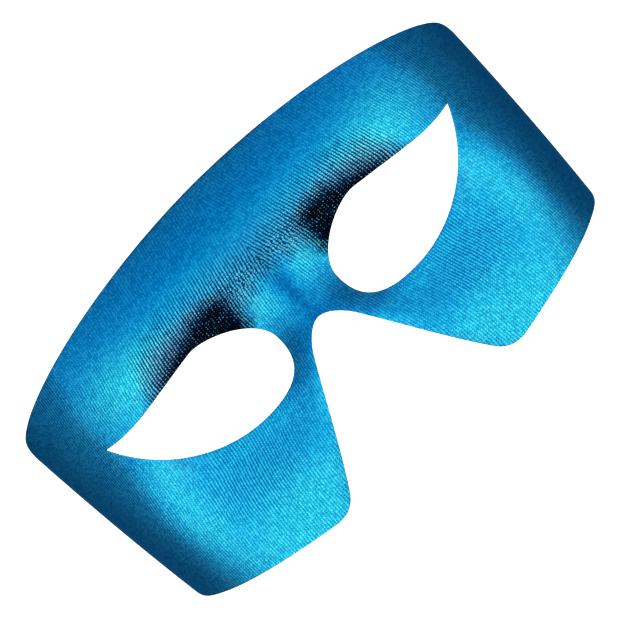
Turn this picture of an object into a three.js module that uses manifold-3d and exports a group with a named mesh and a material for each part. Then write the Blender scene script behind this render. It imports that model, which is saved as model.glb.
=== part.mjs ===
// Half mask for a costume: a thin moulded shell with a metallic knit cloth bonded over its front.
// Millimetres. The mask lies on its back, as it does when it is put down: +Z is the front of the
// face, +Y is the top of the mask, X runs from temple to temple, and z = 0 is the surface that the
// two straight temple edges stand on.
//
// Both layers follow one face form, and both are cut to one flat pattern. A place on the pattern is
// (w, y): w is the distance round the wrap from the middle of the face, y is the height.

import * as THREE from 'three';
import { ParametricGeometry } from 'three/addons/geometries/ParametricGeometry.js';
import { mergeGeometries, mergeVertices } from 'three/addons/utils/BufferGeometryUtils.js';
import Module from 'manifold-3d';

const wasm = await Module();
wasm.setup();

// Overall size
const WIDTH = 168;
const WRAP_DEPTH = 60;

// Layers, measured inwards from the face of the cloth
const CLOTH_THICKNESS = 0.4;
const BOND_GAP = 0.3;
const SHELL_THICKNESS = 0.8;
// The cloth stops this far short of the surface that the temple edges stand on
const CLOTH_CLEARANCE = 0.5;

// The wrap is half an ellipse. Its mean radius turns pattern distance into an angle.
const WRAP_RADIUS = 73;
const TEMPLE_W = WRAP_RADIUS * Math.PI / 2;
// Below this height the mask grows narrower
const TAPER_TOP = 25;
const TAPER_LINEAR = 0.05;
const TAPER_CURVED = 0.00055;
// Beside the cheeks the wrap is fuller than an ellipse
const FULL_CHEEK = { share: 0.2, top: 10, bottom: -15 };

// Features of the face form. Heights and depths are along Z.
const FOREHEAD = { start: 17, end: 47, leanBack: 0.24 };
const FOOT = { start: -10, end: -47, leanBack: 0.08 };
const SOCKET = { x: 29, y: -2.1, inner: 21, outer: 34.8, above: 18.8, below: 38.5, floor: 0.26, rim: 1.47 };
const BROW = { overhang: 13, fadeFrom: 32, fadeTo: 61 };
const CHEEK_HOLLOW = { depth: 8.5, fadeFrom: 56, fadeTo: 100 };
const BROW_TO_CHEEK = { top: 8, bottom: -13.5 };
const NASION = { y: 24.5, depth: 5.7, halfHeight: 10.5, halfWidth: 25, fadeFrom: 0.5, fadeTo: -16 };
const NOSE = { root: 14.2, tip: -9, height: 6.4, halfWidth: 5.8, flare: 0.75 };
const CHEEKBONE = { x: 27, y: -27.5, height: 1.3, halfWidth: 15, halfHeight: 9.3 };
const TEMPLE_FADE = { from: 67, to: 81 };

// Outline of the right half, round from the upper outer corner to the midline and back. Each stretch
// is a curve from where the last one ended. It has a number of facets along it, and it faces the eye
// hole up to the given share of the way round that hole.
const OUTLINE_START = [84.5, 33.8];
const OUTLINE_STRETCHES = [
  // Top edge
  { handles: [[60, 38.9], [29.5, 46.5]], end: [0, 46.5], facets: 12, eyeShare: 0.3 },
  // Midline, where the two halves join
  { end: [0, -3.5], facets: 9, eyeShare: 0.49 },
  // Round top of the nose notch
  { handles: [[2.7, -3.5], [5.8, -7.2]], end: [7.5, -10.3], facets: 4, eyeShare: 0.52 },
  // Side of the nose notch
  { handles: [[12.9, -20.2], [19.6, -33.5]], end: [26.6, -43], facets: 9, eyeShare: 0.64 },
  // Inner foot corner
  { handles: [[29.2, -46.7], [33, -47.3]], end: [36.5, -46.75], facets: 5, eyeShare: 0.68 },
  // Bottom edge
  { handles: [[60, -43.1], [78, -39.7]], end: [86, -38.3], facets: 8, eyeShare: 0.86 },
  // Outer foot corner
  { handles: [[100, -35.9], [TEMPLE_W, -34.5]], end: [TEMPLE_W, -29], facets: 6, eyeShare: 0.9 },
  // Temple edge
  { end: [TEMPLE_W, 19], facets: 5, eyeShare: 0.98 },
  // Upper outer corner
  { handles: [[TEMPLE_W, 29], [98, 30.7]], end: OUTLINE_START, facets: 6, eyeShare: 1 },
];

// Eye hole of the right half, round from its outer tip in the same direction
const EYE_TIP = [68.2, 12.4];
const EYE_STRETCHES = [
  // Under the brow
  { handles: [[54, 10.3], [47, 12.2]], end: [28.5, 14.7] },
  // Round inner end
  { handles: [[22.4, 15], [10.4, 8.6]], end: [10.4, 0.5] },
  // Inner foot
  { handles: [[10.3, -7], [13.2, -12.7]], end: [26, -12.7] },
  // Over the cheek
  { handles: [[42.4, -12.9], [59.5, -1.3]], end: EYE_TIP },
];

// Facets between the eye hole and the outline
const RINGS = 8;

const CLOTH_MATERIAL = new THREE.MeshStandardMaterial({ color: 0x0f86c4, roughness: 0.42, metalness: 0.75 });
const SHELL_MATERIAL = new THREE.MeshStandardMaterial({ color: 0xe4e3de, roughness: 0.6, metalness: 0 });

function bell(distance) {
  return Math.exp(-distance * distance);
}

// Runs smoothly from 0 at one value to 1 at another, in either direction
function ease(value, from, to) {
  const share = THREE.MathUtils.clamp((value - from) / (to - from), 0, 1);
  return share * share * (3 - 2 * share);
}

function halfWidth(y) {
  const below = Math.max(0, TAPER_TOP - y);
  return WIDTH / 2 - TAPER_LINEAR * below - TAPER_CURVED * below * below;
}

function wrapDepth(y) {
  const top = Math.max(0, (y - FOREHEAD.start) / (FOREHEAD.end - FOREHEAD.start));
  const foot = Math.max(0, (y - FOOT.start) / (FOOT.end - FOOT.start));
  return WRAP_DEPTH * (1 - FOREHEAD.leanBack * top * top - FOOT.leanBack * foot * foot);
}

// The hollow round each eye, deep under the brow and shallow over the cheek
function eyeSocket(side, y) {
  const across = (side - SOCKET.x) / (side < SOCKET.x ? SOCKET.inner : SOCKET.outer);
  const up = (y - SOCKET.y) / (y > SOCKET.y ? SOCKET.above : SOCKET.below);
  const inside = 1 - ease(Math.hypot(across, up), SOCKET.floor, SOCKET.rim);
  const browShare = ease(y, BROW_TO_CHEEK.bottom, BROW_TO_CHEEK.top);
  const underBrow = BROW.overhang * (1 - ease(side, BROW.fadeFrom, BROW.fadeTo));
  const overCheek = CHEEK_HOLLOW.depth * (1 - 0.5 * ease(side, CHEEK_HOLLOW.fadeFrom, CHEEK_HOLLOW.fadeTo));
  return inside * (browShare * underBrow + (1 - browShare) * overCheek);
}

// The dip between the brows, where the nose begins
function nasion(side, y) {
  const below = 1 - ease(y - NASION.y, -NASION.halfHeight, NASION.halfHeight);
  const fade = ease(y, NASION.fadeTo, NASION.fadeFrom);
  return NASION.depth * bell(side / NASION.halfWidth) * below * fade;
}

// The ridge of the nose, which widens into the rims of the notch below it
function noseBridge(side, y) {
  const width = NOSE.halfWidth + NOSE.flare * Math.max(0, NOSE.root - y);
  return NOSE.height * ease(y, NOSE.root, NOSE.tip) * bell(side / width);
}

function cheekbone(side, y) {
  const across = (side - CHEEKBONE.x) / CHEEKBONE.halfWidth;
  const up = (y - CHEEKBONE.y) / CHEEKBONE.halfHeight;
  return CHEEKBONE.height * bell(across) * bell(up);
}

// Face of the cloth at a place on the pattern
function faceForm(w, y) {
  const angle = w / WRAP_RADIUS;
  const x = halfWidth(y) * Math.sin(angle);
  const side = Math.abs(x);
  const features = noseBridge(side, y) + cheekbone(side, y) - eyeSocket(side, y) - nasion(side, y);
  const fade = 1 - ease(side, TEMPLE_FADE.from, TEMPLE_FADE.to);
  const fuller = FULL_CHEEK.share * ease(y, FULL_CHEEK.top, FULL_CHEEK.bottom) * Math.sin(angle) ** 4;
  return new THREE.Vector3(x, y, wrapDepth(y) * Math.cos(angle) * (1 + fuller) + features * fade);
}

// A place at a depth under the face, measured square to it
function underFace(w, y, depth) {
  const step = 0.1;
  const along = faceForm(w + step, y).sub(faceForm(w - step, y));
  const up = faceForm(w, y + step).sub(faceForm(w, y - step));
  const outward = along.cross(up).normalize();
  return faceForm(w, y).addScaledVector(outward, -depth);
}

function vector2(pair) {
  return new THREE.Vector2(pair[0], pair[1]);
}

function stretchCurve(start, stretch) {
  if (!stretch.handles) return new THREE.LineCurve(vector2(start), vector2(stretch.end));
  const [first, second] = stretch.handles;
  return new THREE.CubicBezierCurve(vector2(start), vector2(first), vector2(second), vector2(stretch.end));
}

function eyeLoop() {
  const loop = new THREE.CurvePath();
  let start = EYE_TIP;
  for (const stretch of EYE_STRETCHES) {
    loop.add(stretchCurve(start, stretch));
    start = stretch.end;
  }
  return loop;
}

// Places round the outline, each with the place on the eye hole that it faces
function pairedStations() {
  const loop = eyeLoop();
  const stations = [];
  let start = OUTLINE_START;
  let eyeStart = 0;
  for (const stretch of OUTLINE_STRETCHES) {
    const curve = stretchCurve(start, stretch);
    for (let k = 0; k < stretch.facets; k += 1) {
      const share = k / stretch.facets;
      const eyeShare = THREE.MathUtils.lerp(eyeStart, stretch.eyeShare, share);
      stations.push({ outer: curve.getPointAt(share), inner: loop.getPointAt(eyeShare) });
    }
    start = stretch.end;
    eyeStart = stretch.eyeShare;
  }
  return stations;
}

// A strip of surface that runs round the half mask, from one line on the pattern to another. A line
// is given by its share of the way in to the eye hole and its depth under the face of the cloth.
function strip(stations, from, to, steps, templeW) {
  const corner = (u, v, target) => {
    const station = stations[Math.round(u * stations.length) % stations.length];
    const place = station.outer.clone().lerp(station.inner, THREE.MathUtils.lerp(from.share, to.share, v));
    const depth = THREE.MathUtils.lerp(from.depth, to.depth, v);
    target.copy(underFace(Math.min(place.x, templeW), place.y, depth));
  };
  return new ParametricGeometry(corner, stations.length, steps);
}

function turnedOver(geometry) {
  const corners = geometry.index.array;
  for (let k = 0; k < corners.length; k += 3) {
    const kept = corners[k];
    corners[k] = corners[k + 1];
    corners[k + 1] = kept;
  }
  return geometry;
}

function weld(strips) {
  const geometry = mergeGeometries(strips);
  geometry.deleteAttribute('normal');
  geometry.deleteAttribute('uv');
  return mergeVertices(geometry);
}

// One closed half of a layer: its face, its back, and its cut edges at the outline and the eye hole
function halfLayer(faceDepth, backDepth, templeW) {
  const stations = pairedStations();
  const outerFace = { share: 0, depth: faceDepth };
  const innerFace = { share: 1, depth: faceDepth };
  const outerBack = { share: 0, depth: backDepth };
  const innerBack = { share: 1, depth: backDepth };
  return weld([
    strip(stations, outerFace, innerFace, RINGS, templeW),
    turnedOver(strip(stations, outerBack, innerBack, RINGS, templeW)),
    strip(stations, innerFace, innerBack, 1, templeW),
    strip(stations, outerBack, outerFace, 1, templeW),
  ]);
}

function solidOf(geometry) {
  return new wasm.Manifold(new wasm.Mesh({
    numProp: 3,
    vertProperties: new Float32Array(geometry.attributes.position.array),
    triVerts: new Uint32Array(geometry.index.array),
  }));
}

// The same half on the other side of the face
function mirrored(geometry) {
  return turnedOver(geometry.clone().scale(-1, 1, 1));
}

function geometryOf(solid) {
  const mesh = solid.getMesh();
  const geometry = new THREE.BufferGeometry();
  geometry.setAttribute('position', new THREE.BufferAttribute(mesh.vertProperties, 3));
  geometry.setIndex(new THREE.BufferAttribute(mesh.triVerts, 1));
  geometry.computeVertexNormals();
  return geometry;
}

function layer(name, faceDepth, backDepth, templeW, material) {
  const half = halfLayer(faceDepth, backDepth, templeW);
  const whole = solidOf(half).add(solidOf(mirrored(half)));
  const mesh = new THREE.Mesh(geometryOf(whole), material);
  mesh.name = name;
  return mesh;
}

function clothFace() {
  return layer('metallic_cloth_face', 0, CLOTH_THICKNESS, TEMPLE_W - CLOTH_CLEARANCE, CLOTH_MATERIAL);
}

function mouldedShell() {
  const shellFace = CLOTH_THICKNESS + BOND_GAP;
  return layer('moulded_shell', shellFace, shellFace + SHELL_THICKNESS, TEMPLE_W, SHELL_MATERIAL);
}

const group = new THREE.Group();
group.add(mouldedShell(), clothFace());

export default group;
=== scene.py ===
"""Half mask for a costume, lying face up: a thin moulded shell with a metallic knit bonded over it.

The mask lies on the straight cut edges of its temples, on a plain pale floor. +Z is the front of
the face, +Y is the top of the mask, and X runs from temple to temple. The form and the pattern are
worked out in millimetres, and a piece's mesh is in metres.

Both layers follow one face form and are cut to one flat pattern. A place on the pattern is (w, y):
w is the distance round the wrap from the middle of the face, and y is the height. A place on the
face itself is (side, y), where side is the distance from the midline as seen from the front.
"""

import math
from bisect import bisect_left
from functools import lru_cache
from itertools import accumulate

import bmesh
import bpy
from mathutils import Matrix, Vector
from mathutils.geometry import interpolate_bezier


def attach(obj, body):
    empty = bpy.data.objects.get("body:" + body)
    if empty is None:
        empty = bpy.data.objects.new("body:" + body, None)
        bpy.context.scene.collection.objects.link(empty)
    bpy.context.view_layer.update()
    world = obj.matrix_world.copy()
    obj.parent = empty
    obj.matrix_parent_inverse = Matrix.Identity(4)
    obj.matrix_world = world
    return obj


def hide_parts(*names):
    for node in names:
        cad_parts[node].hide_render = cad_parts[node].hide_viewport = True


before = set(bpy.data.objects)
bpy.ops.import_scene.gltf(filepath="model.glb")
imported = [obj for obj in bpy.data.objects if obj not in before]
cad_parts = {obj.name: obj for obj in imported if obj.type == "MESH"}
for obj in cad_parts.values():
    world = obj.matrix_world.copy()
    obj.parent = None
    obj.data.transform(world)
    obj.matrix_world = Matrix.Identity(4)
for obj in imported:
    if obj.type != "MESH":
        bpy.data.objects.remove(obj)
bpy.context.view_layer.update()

MM = 0.001

# Overall size
WIDTH = 168
WRAP_DEPTH = 60

# Layers, measured inwards from the face of the cloth. The adhesive is part of the cloth's back.
CLOTH_THICKNESS = 0.45
SHELL_FACE_DEPTH = 0.48
SHELL_BACK_DEPTH = 1.5
# The cloth stops this far short of the surface that the temple edges stand on
CLOTH_CLEARANCE = 0.5
# How far the cut edges are rounded, and the angle in degrees past which an edge is rounded
CLOTH_EDGE_ROUND = 0.12
SHELL_EDGE_ROUND = 0.2
EDGE_ANGLE = 50
# The cut walls are square to the face where it looks to the side, and run straight back where it
# looks to the front. These are the Z parts of the face's direction that they change between.
CUT_TURN = (0.3, 0.55)

# The wrap is half an ellipse. Its mean radius turns pattern distance into an angle.
WRAP_RADIUS = 73
TEMPLE_W = WRAP_RADIUS * math.pi / 2
# Below this height the mask grows narrower
TAPER_TOP = 25
TAPER_LINEAR = 0.05
TAPER_CURVED = 0.00055
# Beside the cheeks the wrap is fuller than an ellipse
FULL_CHEEK = {"share": 0.2, "power": 4, "top": 10, "bottom": -15}

# Features of the face form, with heights and depths along Z
FOREHEAD = {"start": 17, "end": 47, "lean_back": 0.24}
FOOT = {"start": -10, "end": -47, "lean_back": 0.08}
SOCKET = {"x": 29, "y": -2.1, "inner": 21, "outer": 34.8, "above": 18.8, "below": 38.5}
SOCKET_EDGE = {"floor": 0.26, "rim": 1.47}
BROW = {"overhang": 13, "fade_from": 32, "fade_to": 61}
CHEEK_HOLLOW = {"depth": 8.5, "fade": 0.5, "fade_from": 56, "fade_to": 100}
BROW_TO_CHEEK = {"top": 8, "bottom": -13.5}
NASION = {
    "y": 24.5, "depth": 5.7, "half_height": 10.5, "half_width": 25, "fade_from": 0.5, "fade_to": -16,
}
NOSE = {"root": 14.2, "tip": -9, "height": 6.4, "half_width": 5.8, "flare": 0.75}
NOTCH_RIM = {
    "depth": 1.3, "width": 2.4, "sharpness": 2.5,
    "x": 7.5, "y": -10.3, "spread": 0.585, "top": 4, "foot": -12,
}
CHEEKBONE = {"x": 27, "y": -27.5, "height": 1.3, "half_width": 15, "half_height": 9.3}
TEMPLE_FADE = {"start": 67, "end": 81}

# Outline of the right half, round from the upper outer corner to the midline and back. Each stretch
# is a curve from where the last one ended. It has a number of steps along it, and it faces the eye
# hole up to the given share of the way round that hole.
OUTLINE_START = (84.5, 33.8)
TOP_EDGE = {"handles": ((60, 38.9), (29.5, 46.5)), "end": (0, 46.5), "steps": 72, "eye_share": 0.3}
MIDLINE = {"end": (0, -3.5), "steps": 54, "eye_share": 0.49}
NOTCH_TOP = {"handles": ((2.7, -3.5), (5.8, -7.2)), "end": (7.5, -10.3), "steps": 20, "eye_share": 0.52}
NOTCH_SIDE = {"handles": ((12.9, -20.2), (19.6, -33.5)), "end": (26.6, -43), "steps": 46, "eye_share": 0.64}
INNER_FOOT = {
    "handles": ((29.2, -46.7), (33, -47.3)), "end": (36.5, -46.75), "steps": 20, "eye_share": 0.68,
}
BOTTOM_EDGE = {"handles": ((60, -43.1), (78, -39.7)), "end": (86, -38.3), "steps": 46, "eye_share": 0.86}
OUTER_FOOT = {
    "handles": ((100, -35.9), (TEMPLE_W, -34.5)), "end": (TEMPLE_W, -29), "steps": 32, "eye_share": 0.9,
}
TEMPLE_EDGE = {"end": (TEMPLE_W, 19), "steps": 36, "eye_share": 0.98}
UPPER_CORNER = {
    "handles": ((TEMPLE_W, 29), (98, 30.7)), "end": OUTLINE_START, "steps": 32, "eye_share": 1,
}
OUTLINE_STRETCHES = [
    TOP_EDGE, MIDLINE, NOTCH_TOP, NOTCH_SIDE, INNER_FOOT,
    BOTTOM_EDGE, OUTER_FOOT, TEMPLE_EDGE, UPPER_CORNER,
]

# Eye hole of the right half, round from its outer tip in the same direction
EYE_TIP = (68.2, 12.4)
UNDER_BROW = {"handles": ((54, 10.3), (47, 12.2)), "end": (28.5, 14.7)}
EYE_INNER_END = {"handles": ((22.4, 15), (10.4, 8.6)), "end": (10.4, 0.5)}
EYE_INNER_FOOT = {"handles": ((10.3, -7), (13.2, -12.7)), "end": (26, -12.7)}
EYE_OVER_CHEEK = {"handles": ((42.4, -12.9), (59.5, -1.3)), "end": EYE_TIP}
EYE_STRETCHES = [UNDER_BROW, EYE_INNER_END, EYE_INNER_FOOT, EYE_OVER_CHEEK]

# Steps between the eye hole and the outline
RINGS = 44
# Points that a curve is drawn with before it is stepped evenly
CURVE_POINTS = 200
# How near two points of a mesh are, in metres, to be one
MIRROR_MERGE = 1e-7
MERGE_DISTANCE = 1e-6

# Knit: distance between ribs and between courses. The ribs slant outwards as they run down, less at
# the foot than above it.
RIB_PITCH = 0.935
COURSE_PITCH = 0.68
RIB_SLANT = {"above": 0.25, "foot": -0.02, "turn_at": -28, "turn_length": 5}
# Steps in which the distance over the face is added up
WALK_STEP = 1
ROW_STEP = 0.5
# The cloth is drawn straight over the temples: from one distance round the wrap to another, its ribs
# come to follow the average of rows up to this far above and below, which have these weights
DRAWN_STRAIGHT = {"start": 40, "end": 66, "reach": 14, "weights": (1, 3, 4, 3, 1)}

# Where the ribs are drawn apart. A zone has a share that it reaches in its middle, a place and half
# size on the face, and the part of the way out over which it fades.
BROW_STRETCH = {
    "y": 12, "half_width": 51, "over_nose": 15.5, "over_eye": 19.5, "widens": (0, 16), "squareness": 4,
    "fade": (0.35, 1.04),
}
# The brow's stretch fades towards the eye hole, lower down towards the temple than beside the nose
BROW_STRETCH_FOOT = {"inner_share": 0.8, "inner": (10, 19), "outer": (4, 10), "turn": (20, 40)}
CHEEK_SLACK = {"share": 0.06, "fade": (0, -10)}
CHEEK_STRETCH = {"share": 0.16, "x": 43, "y": -21, "half_width": 20, "half_height": 14, "fade": (0, 1)}
NOSE_STRETCH = {"share": 0.1, "x": 7, "y": 7, "half_width": 6, "half_height": 10, "fade": (0.3, 1.1)}
BROW_END_STRETCH = {
    "share": 0.08, "x": 57, "y": 21, "half_width": 12, "half_height": 13, "fade": (0.4, 1.2),
}
# The band along the upper edge of the eye hole, under the brow, where the dark cloth hides the foil and
# shade is painted. Its top sinks outwards from x, and it fades at its top, its foot and both its ends.
DARK_BAND = {"top": 20.3, "x": 24.5, "lean": 0.29, "soft": 3.5}
DARK_BAND_ENDS = {"inner": (10, 18.5), "outer": (57, 36), "foot": (4.5, 9)}
# Where the stitches are puckered
RUFFLE = {"x": 8, "y": 17.5, "half_width": 8, "half_height": 3}
# Painted highlights on the foil, and painted shade where the share is below 0
PAINTED_LIGHT_ZONES = {
    "brow end": {"share": 0.5, "x": 50, "y": 23, "half_width": 20, "half_height": 11, "fade": (0.2, 1.15)},
    "cheek": {"share": 0.35, "x": 62, "y": -19, "half_width": 7, "half_height": 24, "fade": (0.2, 1.2)},
    "foot": {"share": 0.45, "x": 40, "y": -38, "half_width": 24, "half_height": 13, "fade": (0.2, 1.2)},
    "nose": {"share": 0.2, "x": 7, "y": 11, "half_width": 6, "half_height": 11, "fade": (0.3, 1.1)},
    "notch": {"share": -0.2, "x": 15, "y": -12, "half_width": 9, "half_height": 9, "fade": (0.2, 1)},
    "forehead": {"share": -0.2, "x": 0, "y": 30, "half_width": 34, "half_height": 9, "fade": (0, 1)},
}
# Painted shade along the midline of the nose
NOSE_SHADE = {"share": 0.4, "half_width": 2.6, "fade": (24, 17)}
# Painted shade on the foil where the cloth turns round to the temple. This starts at a part of the way out
# to the mask's side, sooner higher up.
TEMPLE_SHADE = {"share": 0.6, "start": 0.785, "length": 0.08, "lean": 0.0018}


def bell(distance):
    return math.exp(-distance * distance)


def ease(value, start, end):
    """Runs smoothly from 0 at one value to 1 at another, in either direction."""
    share = min(max((value - start) / (end - start), 0), 1)
    return share * share * (3 - 2 * share)


def mix(start, end, share):
    return start + (end - start) * share


# The face form


def half_width(y):
    below = max(0, TAPER_TOP - y)
    return WIDTH / 2 - TAPER_LINEAR * below - TAPER_CURVED * below * below


def wrap_depth(y):
    top = max(0, (y - FOREHEAD["start"]) / (FOREHEAD["end"] - FOREHEAD["start"]))
    foot = max(0, (y - FOOT["start"]) / (FOOT["end"] - FOOT["start"]))
    return WRAP_DEPTH * (1 - FOREHEAD["lean_back"] * top * top - FOOT["lean_back"] * foot * foot)


def eye_socket(side, y):
    """The hollow round each eye, deep under the brow and shallow over the cheek."""
    across = (side - SOCKET["x"]) / (SOCKET["inner"] if side < SOCKET["x"] else SOCKET["outer"])
    up = (y - SOCKET["y"]) / (SOCKET["above"] if y > SOCKET["y"] else SOCKET["below"])
    inside = 1 - ease(math.hypot(across, up), SOCKET_EDGE["floor"], SOCKET_EDGE["rim"])
    brow_share = ease(y, BROW_TO_CHEEK["bottom"], BROW_TO_CHEEK["top"])
    under_brow = BROW["overhang"] * (1 - ease(side, BROW["fade_from"], BROW["fade_to"]))
    hollow_fade = ease(side, CHEEK_HOLLOW["fade_from"], CHEEK_HOLLOW["fade_to"])
    over_cheek = CHEEK_HOLLOW["depth"] * (1 - CHEEK_HOLLOW["fade"] * hollow_fade)
    return inside * mix(over_cheek, under_brow, brow_share)


def nasion(side, y):
    """The dip between the brows, where the nose begins."""
    below = 1 - ease(y - NASION["y"], -NASION["half_height"], NASION["half_height"])
    fade = ease(y, NASION["fade_to"], NASION["fade_from"])
    return NASION["depth"] * bell(side / NASION["half_width"]) * below * fade


def nose_bridge(side, y):
    """The ridge of the nose, which widens into the rims of the notch below it."""
    width = NOSE["half_width"] + NOSE["flare"] * max(0, NOSE["root"] - y)
    return NOSE["height"] * ease(y, NOSE["root"], NOSE["tip"]) * bell(side / width)


def notch_rim(side, y):
    """The roll of the notch's edge towards the wearer's nose."""
    edge = NOTCH_RIM["x"] + NOTCH_RIM["spread"] * (NOTCH_RIM["y"] - y)
    sharpness = NOTCH_RIM["sharpness"]
    away = math.log1p(math.exp(sharpness * (side - edge) / NOTCH_RIM["width"])) / sharpness
    return NOTCH_RIM["depth"] * ease(y, NOTCH_RIM["top"], NOTCH_RIM["foot"]) * math.exp(-away)


def cheekbone(side, y):
    across = (side - CHEEKBONE["x"]) / CHEEKBONE["half_width"]
    up = (y - CHEEKBONE["y"]) / CHEEKBONE["half_height"]
    return CHEEKBONE["height"] * bell(across) * bell(up)


def face_form(w, y):
    """Face of the cloth at a place on the pattern."""
    angle = w / WRAP_RADIUS
    x = half_width(y) * math.sin(angle)
    side = abs(x)
    raised = nose_bridge(side, y) + cheekbone(side, y)
    features = raised - notch_rim(side, y) - eye_socket(side, y) - nasion(side, y)
    fade = 1 - ease(side, TEMPLE_FADE["start"], TEMPLE_FADE["end"])
    fuller = FULL_CHEEK["share"] * ease(y, FULL_CHEEK["top"], FULL_CHEEK["bottom"])
    fuller *= math.sin(angle) ** FULL_CHEEK["power"]
    return Vector((x, y, wrap_depth(y) * math.cos(angle) * (1 + fuller) + features * fade))


def outward(w, y):
    """Direction square to the face of the cloth."""
    step = 0.1
    along = face_form(w + step, y) - face_form(w - step, y)
    up = face_form(w, y + step) - face_form(w, y - step)
    return along.cross(up).normalized()


def inward(w, y):
    """Way from the face of the cloth towards the back of the shell, for each millimetre of depth. It
    runs straight back through the front of the mask, and square to the face at the temples."""
    direction = outward(w, y)
    way = direction.lerp(Vector((0, 0, 1)), ease(direction.z, *CUT_TURN))
    return -way / way.dot(direction)


# The pattern that both layers are cut to


def curve_points(start, stretch):
    end = Vector(stretch["end"])
    first, second = stretch.get("handles", (start, end))
    return interpolate_bezier(Vector(start), Vector(first), Vector(second), end, CURVE_POINTS)


def stepped(points, shares):
    """Places at the given shares of the way along a line of points."""
    gaps = [(after - before).length for before, after in zip(points, points[1:])]
    reached = [0, *accumulate(gaps)]
    places = []
    for share in shares:
        wanted = share * reached[-1]
        k = min(max(bisect_left(reached, wanted), 1), len(points) - 1)
        places.append(points[k - 1].lerp(points[k], (wanted - reached[k - 1]) / gaps[k - 1]))
    return places


def paired_stations():
    """Places round the outline, and the places on the eye hole that they face."""
    eye_line = [Vector(EYE_TIP)]
    for stretch in EYE_STRETCHES:
        eye_line += curve_points(eye_line[-1], stretch)[1:]
    outer = []
    eye_shares = []
    start = OUTLINE_START
    eye_start = 0
    for stretch in OUTLINE_STRETCHES:
        shares = [k / stretch["steps"] for k in range(stretch["steps"])]
        outer += stepped(curve_points(start, stretch), shares)
        eye_shares += [mix(eye_start, stretch["eye_share"], share) for share in shares]
        start = stretch["end"]
        eye_start = stretch["eye_share"]
    return outer, stepped(eye_line, eye_shares)


def flat_half(bm):
    """The right half of the pattern, laid flat: its outline, drawn in to the eye hole."""
    outer, inner = paired_stations()
    outline = [bm.verts.new((*place, 0)) for place in outer]
    edges = [bm.edges.new(ends) for ends in zip(outline, outline[1:] + outline[:1])]
    bmesh.ops.extrude_edge_only(bm, edges=edges)
    outline_set = set(outline)
    spokes = []
    for corner, place in zip(outline, inner):
        spoke = next(edge for edge in corner.link_edges if edge.other_vert(corner) not in outline_set)
        spoke.other_vert(corner).co = (*place, 0)
        spokes.append(spoke)
    bmesh.ops.subdivide_edges(bm, edges=spokes, cuts=RINGS - 1)


# How the knit lies on the form


@lru_cache(maxsize=None)
def walk(row):
    """Distance over the face from the midline, at each step of w along one row."""
    steps = range(math.ceil(TEMPLE_W / WALK_STEP) + 2)
    places = [face_form(k * WALK_STEP, row * ROW_STEP) for k in steps]
    gaps = [(after - before).length for before, after in zip(places, places[1:])]
    return [0, *accumulate(gaps)]


def distance_along_row(w, y):
    k = math.floor(w / WALK_STEP)
    row = math.floor(y / ROW_STEP)
    reached = [mix(walk(near)[k], walk(near)[k + 1], w / WALK_STEP - k) for near in (row, row + 1)]
    return mix(*reached, y / ROW_STEP - row)


def distance_over_face(w, y):
    """Distance from the midline, evened out between rows towards the temples."""
    weights = DRAWN_STRAIGHT["weights"]
    reach = DRAWN_STRAIGHT["reach"] * ease(w, DRAWN_STRAIGHT["start"], DRAWN_STRAIGHT["end"])
    total = 0
    for k, weight in enumerate(weights):
        away = reach * (2 * k / (len(weights) - 1) - 1)
        total += weight * distance_along_row(w, min(max(y + away, FOOT["end"]), FOREHEAD["end"]))
    return total / sum(weights)


def knit_place(w, y):
    """Ribs counted from the midline, and courses counted from y = 0."""
    turn = RIB_SLANT["turn_length"]
    above = turn * math.log1p(math.exp((y - RIB_SLANT["turn_at"]) / turn))
    slant = RIB_SLANT["foot"] * y + (RIB_SLANT["above"] - RIB_SLANT["foot"]) * above
    return (distance_over_face(w, y) + slant) / RIB_PITCH, y / COURSE_PITCH


def within(zone, side, y):
    """Falls from a zone's share in its middle to 0 past its edge."""
    across = (side - zone["x"]) / zone["half_width"]
    up = (y - zone["y"]) / zone["half_height"]
    return zone["share"] * (1 - ease(math.hypot(across, up), *zone["fade"]))


def temple_shade(side, y):
    """How far a place is round towards the temple, where shade is painted on the foil, from 0 to 1."""
    start = TEMPLE_SHADE["start"] - TEMPLE_SHADE["lean"] * y
    return ease(side / half_width(y), start, start + TEMPLE_SHADE["length"])


def brow_stretch(side, y):
    across = (side / BROW_STRETCH["half_width"]) ** BROW_STRETCH["squareness"]
    over_eye_share = ease(side, *BROW_STRETCH["widens"])
    half_height = mix(BROW_STRETCH["over_nose"], BROW_STRETCH["over_eye"], over_eye_share)
    up = (y - BROW_STRETCH["y"]) / half_height
    inner_foot = BROW_STRETCH_FOOT["inner_share"] * ease(y, *BROW_STRETCH_FOOT["inner"])
    outer_foot = ease(y, *BROW_STRETCH_FOOT["outer"])
    foot = mix(inner_foot, outer_foot, ease(side, *BROW_STRETCH_FOOT["turn"]))
    return foot * (1 - ease(math.hypot(across, up), *BROW_STRETCH["fade"]))


def drawn_open(side, y):
    """How far the ribs are drawn apart, from 0 to 1."""
    cheek = CHEEK_SLACK["share"] * ease(y, *CHEEK_SLACK["fade"]) + within(CHEEK_STRETCH, side, y)
    return max(
        brow_stretch(side, y),
        within(NOSE_STRETCH, side, y),
        within(BROW_END_STRETCH, side, y),
        cheek * (1 - temple_shade(side, y)),
    )


def foil_hidden_and_shaded(side, y):
    """How far the dark cloth hides the foil under the brow, with painted shade there, from 0 to 1."""
    top = DARK_BAND["top"] - DARK_BAND["lean"] * max(0, side - DARK_BAND["x"])
    band = ease(y, top + DARK_BAND["soft"], top - DARK_BAND["soft"]) * ease(y, *DARK_BAND_ENDS["foot"])
    return band * ease(side, *DARK_BAND_ENDS["inner"]) * ease(side, *DARK_BAND_ENDS["outer"])


def ruffled(side, y):
    """How far the stitches are puckered out of line, from 0 to 1."""
    across = (side - RUFFLE["x"]) / RUFFLE["half_width"]
    return bell(across) * bell((y - RUFFLE["y"]) / RUFFLE["half_height"])


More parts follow.
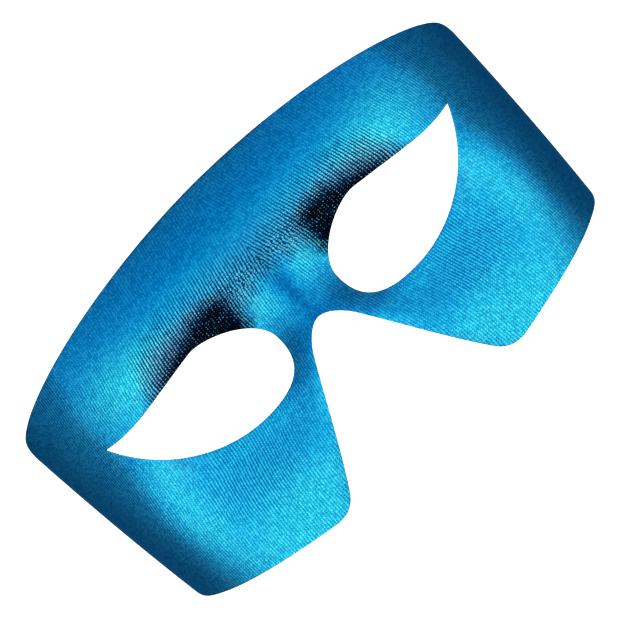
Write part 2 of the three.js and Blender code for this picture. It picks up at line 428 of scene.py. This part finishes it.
def painted_highlight_and_shade(side, y):
    """Painted highlight on the foil from 0 up, and painted shade where it is below 0."""
    painted_light = sum(within(zone, side, y) for zone in PAINTED_LIGHT_ZONES.values())
    nose_line = bell(side / NOSE_SHADE["half_width"]) * ease(y, *NOSE_SHADE["fade"])
    return painted_light - NOSE_SHADE["share"] * nose_line - TEMPLE_SHADE["share"] * temple_shade(side, y)


# What is noted about the knit at each place on the face, and its painted light, for its material to read
KNIT_NOTES = {
    "drawn_open": drawn_open,
    "foil_hidden_and_shaded": foil_hidden_and_shaded,
    "ruffled": ruffled,
    "temple": temple_shade,
    "painted_highlight_and_shade": painted_highlight_and_shade,
}


def press_onto_form(bm, depth, edge_w):
    """Moves the flat half onto the face form, and notes on it the way in, the knit and its painted light.
    """
    grid = bm.loops.layers.uv.new("knit")
    way_in = bm.verts.layers.float_vector.new("way_in")
    layers = {name: bm.verts.layers.float.new(name) for name in KNIT_NOTES}
    for vertex in bm.verts:
        w = min(vertex.co.x, edge_w)
        y = vertex.co.y
        place = face_form(w, y)
        vertex[way_in] = inward(w, y)
        for name, layer in layers.items():
            vertex[layer] = KNIT_NOTES[name](place.x, y)
        for loop in vertex.link_loops:
            loop[grid].uv = knit_place(w, y)
        vertex.co = (place + vertex[way_in] * depth) * MM


def thicken(bm, thickness):
    """Moves a copy of the layer's face in by its thickness, with walls between the two."""
    way_in = bm.verts.layers.float_vector["way_in"]
    made = bmesh.ops.extrude_face_region(bm, geom=bm.faces[:], use_keep_orig=True)["geom"]
    copied = {vertex for vertex in made if isinstance(vertex, bmesh.types.BMVert)}
    for vertex in copied:
        way = vertex[way_in].copy()
        way.x = math.copysign(way.x, -vertex.co.x)
        vertex.co += way * thickness * MM
    # The first face was turned over to close the layer, so the whole layer is inside out
    bmesh.ops.reverse_faces(bm, faces=bm.faces[:])
    for face in bm.faces:
        face.smooth = True
        face.material_index = int(0 < len(copied.intersection(face.verts)) < len(face.verts))


def layer_piece(name, depth, thickness, edge_w, edge_round, face_material, edge_material):
    """A layer of the mask as one closed piece, with softened cut edges."""
    bm = bmesh.new()
    flat_half(bm)
    press_onto_form(bm, depth, edge_w)
    everything = bm.verts[:] + bm.edges[:] + bm.faces[:]
    bmesh.ops.mirror(bm, geom=everything, matrix=Matrix.Identity(4), merge_dist=MIRROR_MERGE, axis="X")
    bmesh.ops.remove_doubles(bm, verts=bm.verts[:], dist=MERGE_DISTANCE)
    bmesh.ops.recalc_face_normals(bm, faces=bm.faces[:])
    thicken(bm, thickness)
    mesh = bpy.data.meshes.new(name)
    bm.to_mesh(mesh)
    bm.free()
    mesh.materials.append(face_material)
    mesh.materials.append(edge_material)
    piece = bpy.data.objects.new(name, mesh)
    bpy.context.scene.collection.objects.link(piece)
    soften = piece.modifiers.new("soften", "BEVEL")
    soften.width = edge_round * MM
    soften.segments = 2
    soften.limit_method = "ANGLE"
    soften.angle_limit = math.radians(EDGE_ANGLE)
    return piece


# Materials


class Recipe:
    """The nodes of a material or a world, built up one by one. Most calls return a node's output."""

    def __init__(self, owner):
        self.owner = owner
        owner.use_nodes = True
        self.nodes = owner.node_tree.nodes
        self.links = owner.node_tree.links

    def feed(self, socket, value):
        if isinstance(value, bpy.types.NodeSocket):
            self.links.new(value, socket)
        else:
            socket.default_value = value

    def add(self, kind, inputs=(), output=0, **settings):
        node = self.nodes.new(kind)
        for name, value in settings.items():
            setattr(node, name, value)
        for key, value in dict(inputs).items():
            self.feed(node.inputs[key], value)
        return node.outputs[output]

    def math(self, operation, *values):
        return self.add("ShaderNodeMath", enumerate(values), operation=operation)

    def scaled(self, value, by, plus=0.0):
        return self.math("MULTIPLY_ADD", value, by, plus)

    def wave(self, value):
        """1 at each whole number, and 0 halfway between two."""
        return self.scaled(self.math("COSINE", self.math("MULTIPLY", value, math.tau)), by=0.5, plus=0.5)

    def split(self, vector):
        """The X, Y and Z parts of a vector."""
        return self.add("ShaderNodeSeparateXYZ", {0: vector}).node.outputs

    def attribute(self, name):
        return self.add("ShaderNodeAttribute", output="Fac", attribute_name=name)

    def blend(self, share, first, second, blend_type="MIX"):
        """Colour between two colours, or between the first and the first multiplied by the second."""
        # The node has sockets for numbers and vectors too: 6, 7 and output 2 are those for colours
        inputs = {0: share, 6: first, 7: second}
        return self.add("ShaderNodeMix", inputs, output=2, data_type="RGBA", blend_type=blend_type)

    def between(self, value, low, high, to_low=0.0, to_high=1.0):
        """A value eased from one range to another, and held at its ends."""
        inputs = {0: value, 1: low, 2: high, 3: to_low, 4: to_high}
        return self.add("ShaderNodeMapRange", inputs, interpolation_type="SMOOTHSTEP")

    def noise(self, vector, scale, detail, output="Fac"):
        inputs = {"Vector": vector, "Scale": scale, "Detail": detail}
        return self.add("ShaderNodeTexNoise", inputs, output=output)

    def swing(self, vector, scale, detail):
        """Noise that swings to both sides of 0."""
        return self.math("SUBTRACT", self.noise(vector, scale, detail), 0.5)

    def bump(self, height, strength, distance):
        inputs = {"Strength": strength, "Distance": distance * MM, "Height": height}
        return self.add("ShaderNodeBump", inputs)

    def finish(self, **sockets):
        """Feeds the material's shader and returns the material."""
        shader = self.nodes["Principled BSDF"]
        for name, value in sockets.items():
            self.feed(shader.inputs[name.replace("_", " ")], value)
        return self.owner


# Colours of the foil, of the dark cloth between its ribs, of the cut threads and of the shell
FOIL = (0.03, 0.42, 0.76, 1)
# Painted highlight on the crests of the beads
FOIL_CREST_HIGHLIGHT = (0.28, 0.78, 0.96, 1)
# Painted shade between the beads
FOIL_GROOVE_SHADE = (0.001, 0.10, 0.30, 1)
# Painted highlight on the crests where the ribs are drawn apart
FOIL_DRAWN_CREST_HIGHLIGHT = (0.58, 0.84, 1.0, 1)
GAP = (0.003, 0.04, 0.13, 1)
# The dark cloth darkened by painted shade under the brow
GAP_IN_PAINTED_SHADE = (0.001, 0.0022, 0.008, 1)
EDGE_TINT = (0.04, 0.5, 0.9, 1)
THREAD_DARK = (0.002, 0.02, 0.06, 1)
THREAD_BLUE = (0.01, 0.11, 0.24, 1)
SHELL_DULL = (0.70, 0.69, 0.65, 1)
SHELL_BRIGHT = (0.80, 0.79, 0.75, 1)
SHELL_CUT_DULL = (0.72, 0.71, 0.67, 1)
SHELL_CUT_BRIGHT = (0.86, 0.85, 0.81, 1)
# What the foil's colour is multiplied by for its painted highlights and for its painted shade
PAINTED_HIGHLIGHT = (2.8, 1.6, 1.05, 1)
PAINTED_SHADE = (0, 0.22, 0.42, 1)


def rib_and_course(r, grid, place, temple):
    """Which rib and which course a place is on, after they wander and pucker out of line."""
    across, up, _ = r.split(grid)
    straighter = r.scaled(temple, by=-0.7, plus=0.8)
    wander = r.math("MULTIPLY", r.swing(place, scale=0.12, detail=1.0), straighter)
    pucker = r.split(r.noise(place, scale=0.6, detail=2.0, output="Color"))
    ruffle = r.attribute("ruffled")
    pucker_across = r.math("SUBTRACT", pucker[0], 0.5)
    pucker_up = r.math("SUBTRACT", pucker[1], 0.5)
    moved = r.scaled(pucker_across, by=r.scaled(ruffle, by=2.0, plus=0.35), plus=wander)
    rib = r.math("ADD", across, moved)
    course = r.scaled(pucker_up, by=r.scaled(ruffle, by=3.3, plus=0.2), plus=up)
    return rib, course


def beaded_ribs(r, rib, course, temple):
    """Height of the foil: beads in ribs, and plainer ribs at the temples."""
    bead_share = r.scaled(temple, by=-0.4, plus=0.5)
    bead = r.scaled(r.math("SUBTRACT", r.wave(course), 1.0), by=bead_share, plus=1.0)
    return r.math("MULTIPLY", r.wave(rib), bead)


def stitch_flecks(r, rib, course, place, rougher):
    """The tilt of each stitch and the flecks within it, to both sides of 0."""
    stitch = r.add("ShaderNodeCombineXYZ", {0: r.math("ROUND", rib), 1: r.math("ROUND", course)})
    tilt = r.add("ShaderNodeTexWhiteNoise", {0: stitch}, noise_dimensions="2D")
    grain = r.noise(place, scale=4.0, detail=1.0)
    flecks = r.scaled(grain, by=2.1, plus=r.scaled(tilt, by=0.3, plus=-1.2))
    return r.scaled(r.math("MULTIPLY", flecks, rougher), by=0.8, plus=flecks)


def bare_cloth_and_shade(r, beads, flecks, opened, hidden_and_shaded):
    """How much of the dark cloth shows between the ribs, with painted shade under the brow, from 0 to 1."""
    drawn = r.math("MULTIPLY", opened, r.scaled(hidden_and_shaded, by=-0.5, plus=0.46))
    level = r.scaled(hidden_and_shaded, by=1.15, plus=drawn)
    softness = 0.12
    ragged = r.scaled(flecks, by=0.6, plus=beads)
    foil = r.between(ragged, r.math("SUBTRACT", level, softness), r.math("ADD", level, softness))
    shows = r.between(r.math("ADD", opened, hidden_and_shaded), low=0.08, high=0.4)
    return r.math("MULTIPLY", r.math("SUBTRACT", 1.0, foil), shows)


def foil_colour(r, beads, flecks, opened, temple):
    """Painted shade between the beads and a painted highlight on their crests, paler where drawn apart."""
    relief = r.scaled(temple, by=0.7, plus=r.between(opened, low=0.0, high=0.15, to_low=0.3, to_high=1.0))
    middle_height = 0.375
    height = r.math("SUBTRACT", beads, middle_height)
    light = r.scaled(height, by=relief, plus=r.math("ADD", flecks, 0.5))
    tone = r.blend(r.math("MULTIPLY", light, 2.0), FOIL_GROOVE_SHADE, FOIL)
    # A paler painted highlight on the crests where the ribs are drawn apart
    drawn_crest_highlight = r.math("MULTIPLY", r.between(opened, low=0.25, high=0.9), r.between(light, low=0.7, high=1.1))
    crest = r.blend(drawn_crest_highlight, FOIL_CREST_HIGHLIGHT, FOIL_DRAWN_CREST_HIGHLIGHT)
    tone = r.blend(r.scaled(light, by=2.0, plus=-1.0), tone, crest)
    # Painted highlights and painted shade, zone by zone
    painted_light = r.attribute("painted_highlight_and_shade")
    tone = r.blend(painted_light, tone, PAINTED_HIGHLIGHT, "MULTIPLY")
    return r.blend(r.math("MULTIPLY", painted_light, -1.0), tone, PAINTED_SHADE, "MULTIPLY")


def metallic_knit():
    """Ribbed knit with a metallic face: beads of foil in ribs, over dark cloth, with painted shade and
    highlights. Its noise is laid out on the cloth in millimetres."""
    r = Recipe(bpy.data.materials.new("metallic_knit"))
    grid = r.add("ShaderNodeUVMap", uv_map="knit")
    place = r.add("ShaderNodeVectorMath", {0: grid, 1: (RIB_PITCH, COURSE_PITCH, 1)}, operation="MULTIPLY")
    temple = r.attribute("temple")
    patches = r.swing(place, scale=0.3, detail=3.0)
    opened = r.attribute("drawn_open")
    opened = r.scaled(patches, by=r.math("MULTIPLY", opened, 0.9), plus=opened)
    # The dark band under the brow, where the cloth shows and shade is painted
    hidden_and_shaded = r.attribute("foil_hidden_and_shaded")
    hidden_and_shaded = r.scaled(patches, by=r.math("MULTIPLY", hidden_and_shaded, 0.5), plus=hidden_and_shaded)

    rib, course = rib_and_course(r, grid, place, temple)
    beads = beaded_ribs(r, rib, course, temple)
    flecks = stitch_flecks(r, rib, course, place, rougher=r.math("ADD", temple, hidden_and_shaded))
    bare_and_shaded = bare_cloth_and_shade(r, beads, flecks, opened, hidden_and_shaded)
    foil = foil_colour(r, beads, flecks, opened, temple)
    height = r.math("MULTIPLY", beads, r.scaled(opened, by=0.9, plus=0.35))
    return r.finish(
        # Under the brow the dark cloth takes the near black of the painted shade
        Base_Color=r.blend(bare_and_shaded, foil, r.blend(hidden_and_shaded, GAP, GAP_IN_PAINTED_SHADE)),
        Metallic=r.scaled(bare_and_shaded, by=-0.98, plus=0.98),
        Roughness=r.scaled(bare_and_shaded, by=0.3, plus=0.33),
        Specular_Tint=EDGE_TINT,
        Specular_IOR_Level=0.0,
        Normal=r.bump(r.scaled(flecks, by=0.5, plus=height), strength=1.0, distance=0.10),
    )


def cut_knit():
    """The cut edge of the knit, where its dark threads show."""
    r = Recipe(bpy.data.materials.new("cut_knit"))
    place = r.add("ShaderNodeTexCoord", output="Object")
    threads = r.noise(place, scale=2600, detail=2.0)
    return r.finish(
        Base_Color=r.blend(threads, THREAD_DARK, THREAD_BLUE),
        Roughness=0.8,
        Normal=r.bump(threads, strength=0.6, distance=0.1),
    )


def moulded_plastic(name, dull, bright):
    """Off-white sheet plastic, drawn over a mould: satin, with a fine even grain."""
    r = Recipe(bpy.data.materials.new(name))
    place = r.add("ShaderNodeTexCoord", output="Object")
    cloud = r.noise(place, scale=60, detail=3.0)
    grain = r.noise(place, scale=1500, detail=2.0)
    return r.finish(
        Base_Color=r.blend(cloud, dull, bright),
        Roughness=r.scaled(grain, by=0.2, plus=0.42),
        Normal=r.bump(grain, strength=0.25, distance=0.08),
    )


def floor_material(name, colour, glow):
    """A floor of a plain colour, with light of its own."""
    r = Recipe(bpy.data.materials.new(name))
    return r.finish(Base_Color=colour, Roughness=0.9, Emission_Color=glow, Emission_Strength=1.0)


# The mask


def build_mask():
    knit = metallic_knit()
    knit_edge = cut_knit()
    shell_face = moulded_plastic("moulded_plastic", SHELL_DULL, SHELL_BRIGHT)
    shell_edge = moulded_plastic("cut_plastic", SHELL_CUT_DULL, SHELL_CUT_BRIGHT)
    cloth = layer_piece(
        "cloth_cover", 0, CLOTH_THICKNESS, TEMPLE_W - CLOTH_CLEARANCE, CLOTH_EDGE_ROUND,
        knit, knit_edge,
    )
    shell = layer_piece(
        "shell_backing", SHELL_FACE_DEPTH, SHELL_BACK_DEPTH - SHELL_FACE_DEPTH, TEMPLE_W,
        SHELL_EDGE_ROUND, shell_face, shell_edge,
    )
    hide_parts("metallic_cloth_face")
    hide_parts("moulded_shell")
    for piece in (cloth, shell):
        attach(piece, "root")


# The studio, in metres

# Colour of the light from each part of the room, and where it rises from none to all: away from the
# middle, towards the top of the mask, and upwards. A colour below 0 takes light away.
ROOM_LIGHT = {
    "over the mask": ((0, 0.43, 0.78), (-2, -1), (-0.7, -0.2), (-0.1, 0.3)),
    "less in the middle": ((0, -0.03, -0.2), (0.4, 0.1), (-0.7, -0.2), (0.3, 0.5)),
    "towards its foot": ((0.42, 0.24, 0.5), (-2, -1), (-0.2, -0.6), (0.35, 0.75)),
    "low at its foot": ((0.34, 0.40, 0.5), (-2, -1), (-0.4, -0.8), (0.75, 0.35)),
    "under it": ((0.15, 0.2, 0.243), (-2, -1), (-3, -2), (0.2, -0.2)),
}
# Soft boxes on each side, by elevation in degrees and place along Y
SIDE_LIGHTS = {
    "low": {"elevation": 15, "y": 0, "size": (1.3, 0.35), "radiance": 0.64, "colour": (0, 0.5, 1)},
    "middle": {"elevation": 38, "y": 0, "size": (1.3, 0.35), "radiance": 1.07, "colour": (0.2, 1, 0.55)},
    "upper": {"elevation": 55, "y": 0, "size": (1.3, 0.35), "radiance": 0.68, "colour": (0.5, 1, 0.34)},
    "high": {"elevation": 70, "y": 0, "size": (1.3, 0.35), "radiance": 0.56, "colour": (0, 0.91, 1)},
    "foot": {"elevation": 30, "y": -0.5, "size": (0.6, 0.5), "radiance": 2.1, "colour": (0.3, 1, 0.56)},
}
SOFT_BOX_DISTANCE = 1.2
FLOOR_HALF_SIZE = 3
FLOOR_COLOUR = (0.9, 0.9, 0.9, 1)
FLOOR_GLOW = (1, 1, 1, 1)
BOUNCE_COLOUR = (0, 0, 0, 1)
BOUNCE_GLOW = (0.74, 0.72, 0.70, 1)
BACKDROP = (0.93, 0.93, 0.93, 1)
# The camera looks straight down, turned as the mask is turned in the photograph
CAMERA_PLACE = (-0.0002, -0.0044, 1.504)
CAMERA_TURN = -45.5
LENS = 300
SENSOR_WIDTH = 36


def floor_plane(name, material, seen):
    """A floor that the camera sees, or one that lights the mask. The foil mirrors neither, so that its
    sides stay dark."""
    mesh = bpy.data.meshes.new(name)
    bm = bmesh.new()
    bmesh.ops.create_grid(bm, x_segments=1, y_segments=1, size=FLOOR_HALF_SIZE)
    bm.to_mesh(mesh)
    bm.free()
    plane = bpy.data.objects.new(name, mesh)
    bpy.context.scene.collection.objects.link(plane)
    plane.data.materials.append(material)
    plane.visible_camera = seen
    plane.visible_diffuse = not seen
    plane.visible_glossy = False


def soft_box(name, place, size, radiance, colour):
    """A rectangle of light that faces the middle of the mask's footprint."""
    light = bpy.data.lights.new(name, "AREA")
    light.shape = "RECTANGLE"
    light.size, light.size_y = size
    light.energy = radiance * math.pi * size[0] * size[1]
    light.color = colour
    box = bpy.data.objects.new(name, light)
    box.location = place
    box.rotation_euler = (-Vector(place)).to_track_quat("-Z", "Y").to_euler()
    box.visible_camera = False
    bpy.context.scene.collection.objects.link(box)


def side_lights():
    for side, name in ((1, "right"), (-1, "left")):
        for level, light in SIDE_LIGHTS.items():
            angle = math.radians(light["elevation"])
            across = side * SOFT_BOX_DISTANCE * math.cos(angle)
            place = (across, light["y"], SOFT_BOX_DISTANCE * math.sin(angle))
            soft_box(f"{name}_{level}_soft_box", place, light["size"], light["radiance"], light["colour"])


def room():
    """Light from all round the mask, added up part by part, and a plain backdrop for the camera."""
    world = bpy.data.worlds.new("room")
    bpy.context.scene.world = world
    r = Recipe(world)
    x, y, z = r.split(r.add("ShaderNodeTexCoord", output="Generated"))
    away = r.math("ABSOLUTE", x)
    total = (0, 0, 0)
    for colour, *rises in ROOM_LIGHT.values():
        share = 1.0
        for (start, end), along in zip(rises, (away, y, z)):
            share = r.add("ShaderNodeMapRange", {0: along, 1: start, 2: end, 4: share})
        total = r.add("ShaderNodeVectorMath", {0: share, 1: colour, 2: total}, operation="MULTIPLY_ADD")
    seen = r.add("ShaderNodeLightPath", output="Is Camera Ray")
    r.feed(r.nodes["Background"].inputs["Color"], r.blend(seen, total, BACKDROP))


def camera():
    lens = bpy.data.cameras.new("camera")
    lens.sensor_width = SENSOR_WIDTH
    lens.lens = LENS
    eye = bpy.data.objects.new("camera", lens)
    eye.location = CAMERA_PLACE
    eye.rotation_euler = (0, 0, math.radians(CAMERA_TURN))
    bpy.context.scene.collection.objects.link(eye)
    bpy.context.scene.camera = eye


def studio():
    floor_plane("floor", floor_material("pale_floor", FLOOR_COLOUR, FLOOR_GLOW), True)
    floor_plane("bounce_card", floor_material("bounce_light", BOUNCE_COLOUR, BOUNCE_GLOW), False)
    room()
    side_lights()
    camera()
    bpy.context.scene.view_settings.view_transform = "Standard"


build_mask()
studio()
